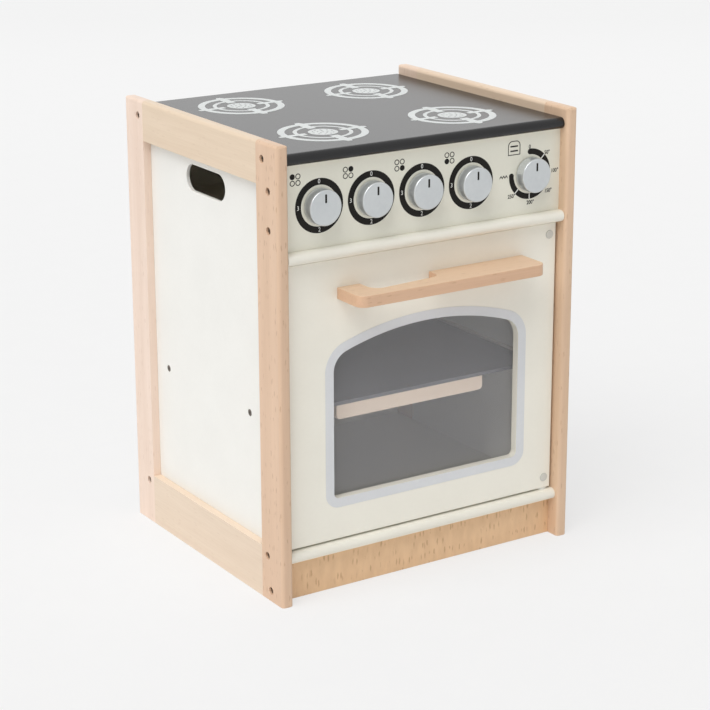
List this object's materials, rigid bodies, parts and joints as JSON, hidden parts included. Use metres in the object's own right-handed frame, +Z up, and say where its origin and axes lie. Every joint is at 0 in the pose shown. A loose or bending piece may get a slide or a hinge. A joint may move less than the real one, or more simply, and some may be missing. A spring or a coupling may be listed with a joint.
{
  "type": "toy oven",
  "caption": "Free-standing wooden play cooker with framed sides, a printed hob, turning dials, and an oven with a side-hung windowed door and a sliding shelf.",
  "frame": {"origin": "middle of the footprint, handle included, on the floor", "axes": "+Z up, front towards -Y, +X to the right seen from the front"},
  "size_m": [0.362, 0.347, 0.475],
  "materials": {
    "beech": "clear satin lacquer",
    "cream_paint": "cream satin paint",
    "hob_paint": "black satin paint",
    "slate_paint": "dark grey satin paint",
    "pale_print": "printed ink",
    "dark_print": "printed ink",
    "silver_print": "printed ink",
    "silver_plastic": "silver satin",
    "nylon": "moulded",
    "cap_plastic": "moulded",
    "clear_pane": "clear, faintly smoked",
    "steel": "zinc plated",
    "magnet": "nickel plated"
  },
  "bodies": {
    "cabinet": {"left_front_post": "beech", "left_back_post": "beech", "left_top_rail": "beech", "left_bottom_rail": "beech", "left_infill_panel": "cream_paint", "left_dowels": "beech", "left_frame_screws": "steel", "left_runner": "beech", "left_runner_screws": "steel", "right_front_post": "beech", "right_back_post": "beech", "right_top_rail": "beech", "right_bottom_rail": "beech", "right_infill_panel": "cream_paint", "right_dowels": "beech", "right_frame_screws": "steel", "right_runner": "beech", "right_runner_screws": "steel", "hob_board": "hob_paint", "burner_prints": "pale_print", "control_panel": "cream_paint", "dial_prints": "dark_print", "ceiling_board": "cream_paint", "floor_board": "cream_paint", "plinth": "beech", "back_panel": "cream_paint", "rear_batten": "beech", "back_panel_screws": "steel", "ceiling_screws": "steel", "plinth_screws": "steel", "dial_washers": "nylon", "pivot_bushes": "nylon", "catch_block": "beech", "catch_magnet": "magnet", "catch_screws": "steel"},
    "door": {"door_panel": "cream_paint", "window_border": "silver_print", "window_pane": "clear_pane", "pane_screws": "steel", "door_handle": "beech", "handle_screws": "steel", "pivot_pins": "steel", "pin_screws": "steel", "pin_caps": "cap_plastic", "strike_plate": "steel", "strike_screw": "steel"},
    "shelf": {"shelf_board": "slate_paint", "shelf_lip": "beech", "lip_screws": "steel"},
    "dial_1": {"knob_1": "silver_plastic", "dial_bolt_1": "steel"},
    "dial_2": {"knob_2": "silver_plastic", "dial_bolt_2": "steel"},
    "dial_3": {"knob_3": "silver_plastic", "dial_bolt_3": "steel"},
    "dial_4": {"knob_4": "silver_plastic", "dial_bolt_4": "steel"},
    "dial_5": {"knob_5": "silver_plastic", "dial_bolt_5": "steel"}
  },
  "joints": [
    {"name": "door_hinge", "type": "hinge", "parent": "cabinet", "child": "door", "pos_m": [0.157, -0.1245, 0.204], "axis": [0, 0, 1], "range_deg": [0, 100]},
    {"name": "shelf_slide", "type": "slide", "parent": "cabinet", "child": "shelf", "axis": [0, -1, 0], "range_m": [0, 0.008]},
    {"name": "dial_turn_1", "type": "hinge", "parent": "cabinet", "child": "dial_1", "pos_m": [-0.1268, -0.1375, 0.4085], "axis": [0, 1, 0], "continuous": true},
    {"name": "dial_turn_2", "type": "hinge", "parent": "cabinet", "child": "dial_2", "pos_m": [-0.0664, -0.1375, 0.4085], "axis": [0, 1, 0], "continuous": true},
    {"name": "dial_turn_3", "type": "hinge", "parent": "cabinet", "child": "dial_3", "pos_m": [-0.006, -0.1375, 0.4085], "axis": [0, 1, 0], "continuous": true},
    {"name": "dial_turn_4", "type": "hinge", "parent": "cabinet", "child": "dial_4", "pos_m": [0.0544, -0.1375, 0.4085], "axis": [0, 1, 0], "continuous": true},
    {"name": "dial_turn_5", "type": "hinge", "parent": "cabinet", "child": "dial_5", "pos_m": [0.129, -0.1375, 0.4085], "axis": [0, 1, 0], "continuous": true}
  ]
}
